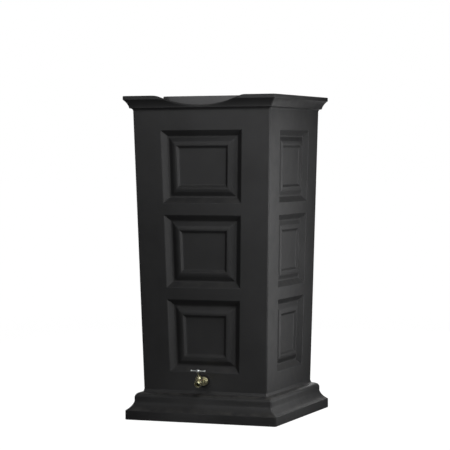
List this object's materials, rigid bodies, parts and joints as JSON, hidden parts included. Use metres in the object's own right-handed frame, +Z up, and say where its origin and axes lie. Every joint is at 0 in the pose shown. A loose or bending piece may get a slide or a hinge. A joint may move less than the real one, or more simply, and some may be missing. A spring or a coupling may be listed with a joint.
{
  "type": "rain barrel",
  "caption": "Square tapered rain barrel with framed panels, plinth and cornice; planter and debris screen lift out of the basin on top; brass hose tap near the foot.",
  "frame": {"origin": "middle of the square footprint, on the face that it stands on", "axes": "+Z up, -Y towards the front with the tap, +X to the right as seen from the front"},
  "size_m": [0.61, 0.6309, 1.219],
  "materials": {
    "moulded_black": "satin, finely textured rotationally moulded polyethylene",
    "planter_grey": "matt moulded plastic",
    "rubber": "matt",
    "brass": "cast and machined, slightly dulled",
    "plated": "plated, soft shine",
    "steel": "stainless, satin",
    "fibre": "matt red vulcanised fibre"
  },
  "bodies": {
    "root": {"barrel_shell": "moulded_black", "tap_body": "brass", "tap_outer_washer": "rubber", "tap_inner_washer": "rubber", "tap_backing_washer": "steel", "tap_lock_nut": "brass", "tap_bonnet": "brass", "tap_bonnet_gasket": "fibre", "tap_packing": "rubber", "tap_gland_nut": "brass"},
    "planter": {"planter_box": "planter_grey"},
    "screen": {"screen_basket": "moulded_black", "screen_mesh": "steel", "screen_mesh_ring": "moulded_black"},
    "valve": {"tap_jumper": "brass", "tap_seat_washer": "rubber", "tap_washer_nut": "brass"},
    "spindle": {"tap_spindle": "brass", "tap_handle": "plated", "tap_handle_screw": "steel"}
  },
  "joints": [
    {"name": "planter_lift", "type": "slide", "parent": "root", "child": "planter", "axis": [0, 0, 1], "range_m": [0, 0.16]},
    {"name": "screen_lift", "type": "slide", "parent": "root", "child": "screen", "axis": [0, 0, 1], "range_m": [0, 0.2]},
    {"name": "valve_lift", "type": "slide", "parent": "root", "child": "valve", "axis": [0, -0.342, 0.9397], "range_m": [0, 0.00394]},
    {"name": "handle_turn", "type": "hinge", "parent": "valve", "child": "spindle", "pos_m": [0, -0.2971, 0.152], "axis": [0, -0.342, 0.9397], "range_deg": [0, 630]}
  ],
  "couplings": [
    {"joint": "handle_turn", "follows": "valve_lift", "rad_per_m": 2792.5}
  ]
}
